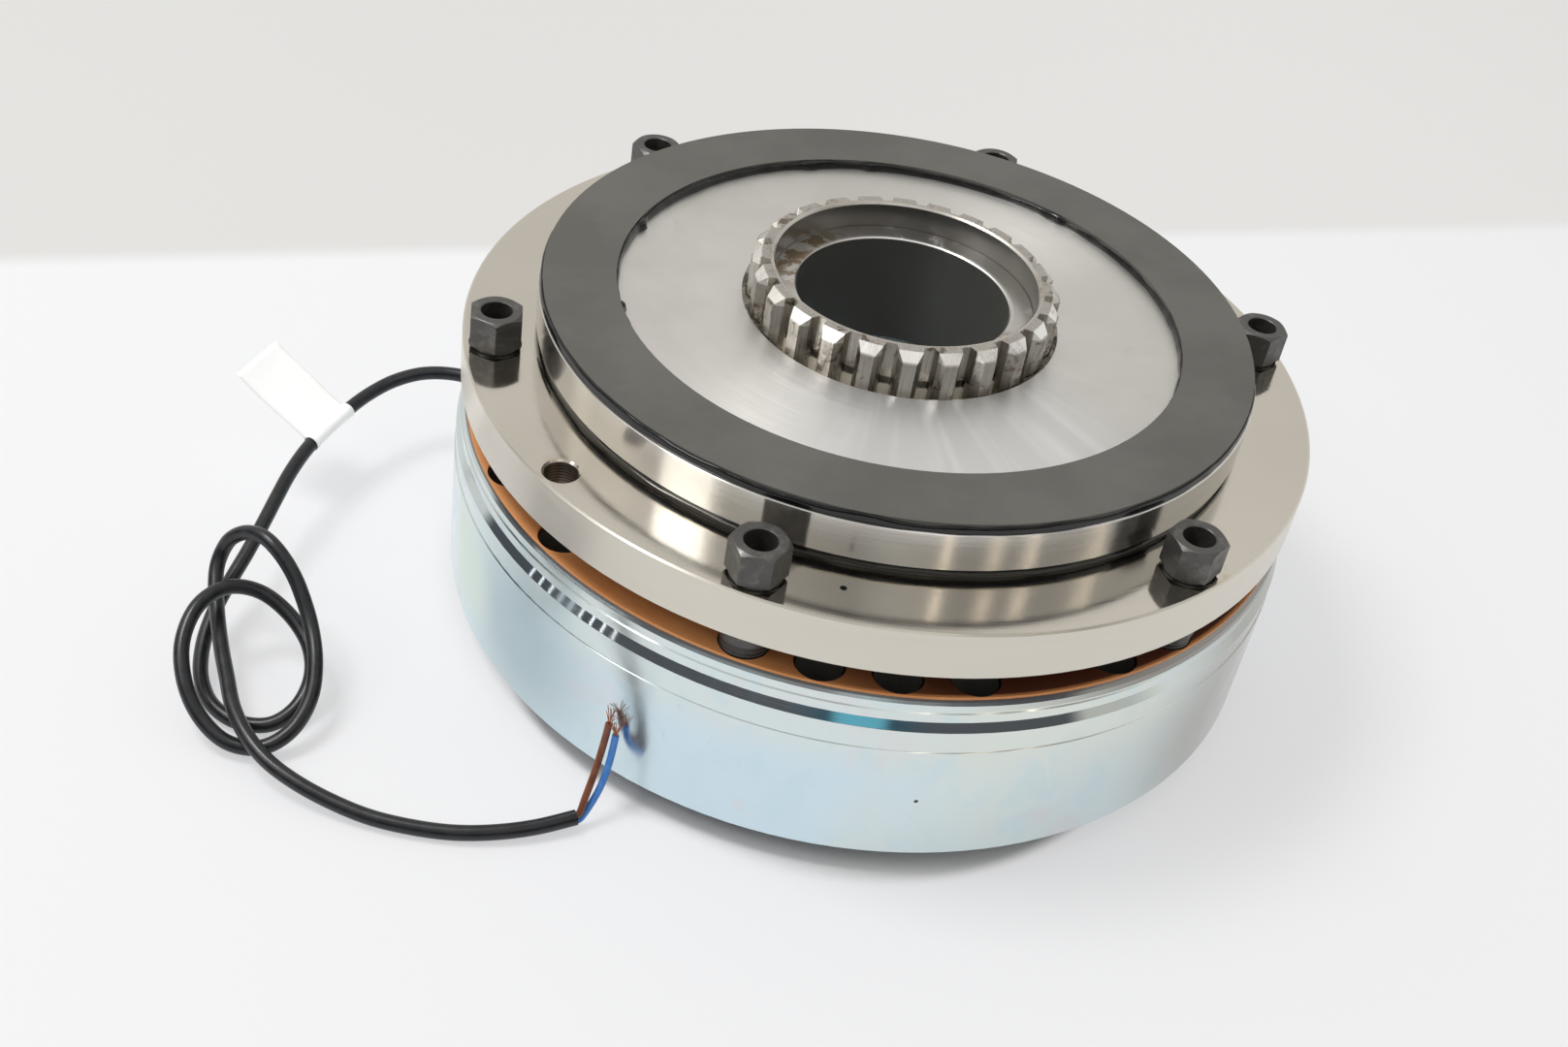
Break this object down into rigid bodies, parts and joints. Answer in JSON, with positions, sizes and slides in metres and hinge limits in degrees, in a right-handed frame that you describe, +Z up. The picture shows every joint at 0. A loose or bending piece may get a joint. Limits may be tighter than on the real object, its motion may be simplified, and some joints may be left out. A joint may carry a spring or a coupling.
{
  "type": "spring applied brake",
  "caption": "Round electromagnetic brake: coil body, spring-borne armature plate on hollow screws, lined rotor disc on a toothed hub, and a loose two-core supply cable.",
  "frame": {"origin": "on the brake's axis, in the plane of the rear step it stands on", "axes": "+Z up the axis towards the hub, +X through the first hollow screw"},
  "size_m": [0.3945, 0.302, 0.1364],
  "materials": {
    "zinc": "zinc plated, pale blue with a faint yellow sheen",
    "bobbin": "moulded",
    "copper": "bare copper",
    "potting": "cast resin",
    "fibre": "pressed brown fibre",
    "spring": "oiled spring steel",
    "black_oxide": "black oxide, satin",
    "nickel": "ground and nickel plated",
    "bright_steel": "turned, bright",
    "lining": "ground friction lining",
    "adhesive": "hardened squeeze-out",
    "hub_steel": "milled, with light rust",
    "rubber": "moulded",
    "sheath": "smooth black sheath",
    "paper": "plain white, folded",
    "brown_insulation": "smooth",
    "blue_insulation": "smooth"
  },
  "bodies": {
    "magnet": {"coil_body": "zinc", "coil_bobbin": "bobbin", "coil_winding": "copper", "potting_ring": "potting", "damping_disc": "fibre", "pressure_springs": "spring", "hollow_screws": "black_oxide", "cable_grommet": "rubber", "cable": "sheath", "cable_label": "paper", "brown_core": "brown_insulation", "blue_core": "blue_insulation", "brown_strands": "copper", "blue_strands": "copper"},
    "armature": {"armature_plate": "nickel"},
    "hub": {"spline_hub": "hub_steel", "hub_o_ring": "rubber"},
    "rotor": {"rotor_disc": "bright_steel", "upper_lining": "lining", "lower_lining": "lining", "upper_glue_line": "adhesive", "lower_glue_line": "adhesive"}
  },
  "joints": [
    {"name": "armature_slide", "type": "slide", "parent": "magnet", "child": "armature", "axis": [0, 0, 1], "range_m": [-0.0095, 0], "stiffness_N_per_m": 150000, "springref_m": 0.001, "deforming": ["pressure_springs"]},
    {"name": "hub_spin", "type": "hinge", "parent": "magnet", "child": "hub", "pos_m": [0, 0, 0], "axis": [0, 0, 1], "continuous": true},
    {"name": "rotor_float", "type": "slide", "parent": "hub", "child": "rotor", "axis": [0, 0, 1], "range_m": [0, 0.01]}
  ]
}
